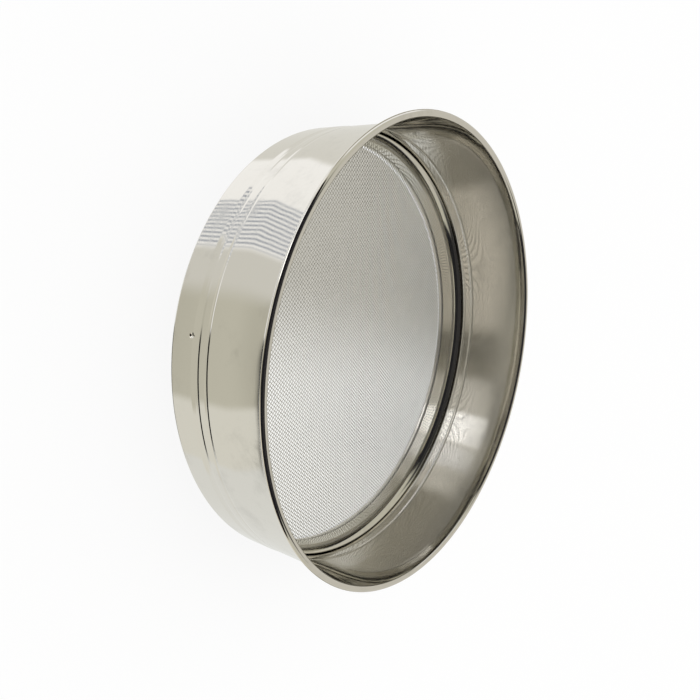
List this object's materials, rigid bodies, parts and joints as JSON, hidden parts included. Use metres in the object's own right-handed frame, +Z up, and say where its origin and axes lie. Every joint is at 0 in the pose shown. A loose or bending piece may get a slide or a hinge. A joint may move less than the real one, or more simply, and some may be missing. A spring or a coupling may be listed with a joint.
{
  "type": "drum sieve",
  "caption": "Round drum sieve with a polished sheet drum, rolled rim, pressed grooves, an inner ring and a flat woven wire cloth near its base.",
  "frame": {"origin": "centre of the circle that the sieve stands on, at the underside of its hem", "axes": "+Z up along the drum's axis, from the hem to the rolled rim; +X through one of the three stakes"},
  "size_m": [0.26, 0.26, 0.066],
  "materials": {
    "polished_drum_steel": "mirror polished stainless steel",
    "rim_wire_steel": "drawn steel wire",
    "woven_wire_steel": "drawn stainless wire, woven",
    "polished_ring_steel": "polished stainless steel"
  },
  "bodies": {
    "root": {"drum_shell": "polished_drum_steel", "rim_wire": "rim_wire_steel", "mesh_cloth": "woven_wire_steel", "mesh_ring": "polished_ring_steel"}
  },
  "joints": []
}
